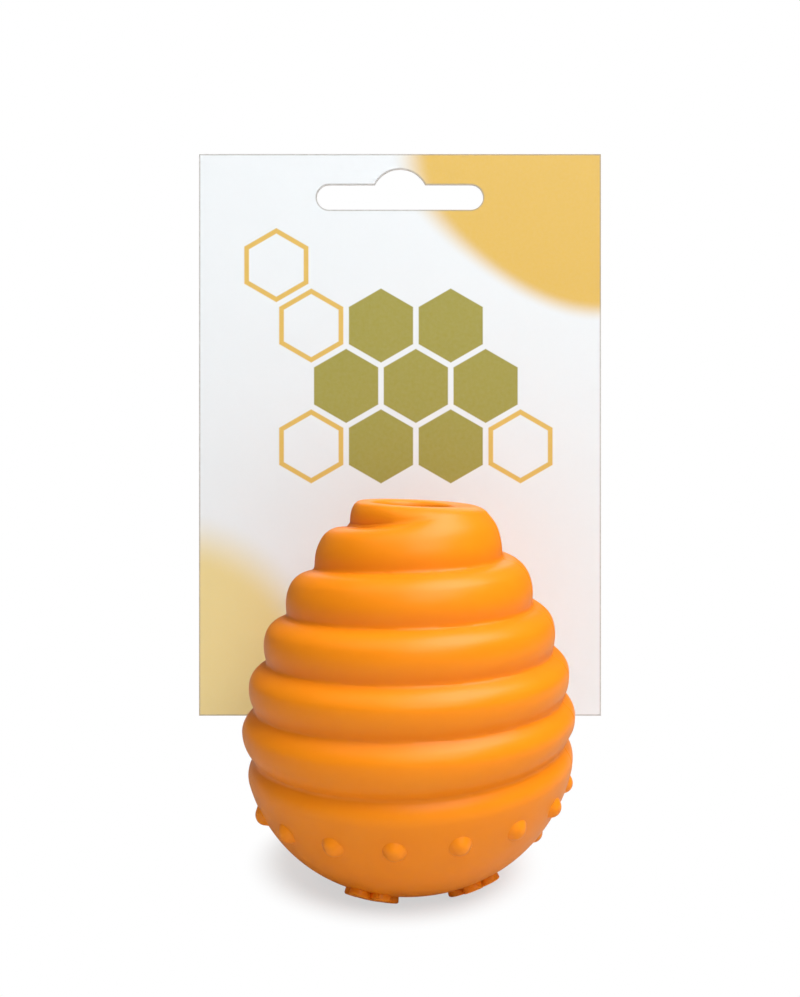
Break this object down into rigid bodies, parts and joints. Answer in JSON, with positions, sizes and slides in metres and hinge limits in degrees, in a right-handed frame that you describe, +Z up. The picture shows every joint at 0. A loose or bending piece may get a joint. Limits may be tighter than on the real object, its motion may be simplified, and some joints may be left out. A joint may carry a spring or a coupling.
{
  "type": "treat dispensing dog toy",
  "caption": "Hollow rubber beehive-shaped treat toy with a spiral ridge, nubs and an open mouth, tagged to a flat hang card.",
  "frame": {"origin": "centre of the small flat of the toy's base, on the surface that it stands on", "axes": "+Z up along the toy's axis to its mouth, -Y to the front, +X to the right as seen from the front; the hang card is behind, across Y"},
  "size_m": [0.1014, 0.0723, 0.1658],
  "materials": {
    "natural_rubber": "moulded natural rubber, satin to matt, orange",
    "printed_paperboard": "off-white coated paperboard with ochre and olive print",
    "clear_nylon": "translucent nylon"
  },
  "bodies": {
    "toy": {"rubber_body": "natural_rubber", "card_fastener": "clear_nylon"},
    "card": {"hang_card": "printed_paperboard"}
  },
  "joints": [
    {"name": "card_swivel", "type": "hinge", "parent": "toy", "child": "card", "pos_m": [0, 0.03549, 0.03834], "axis": [0, 1, 0], "range_deg": [-25, 25]}
  ]
}
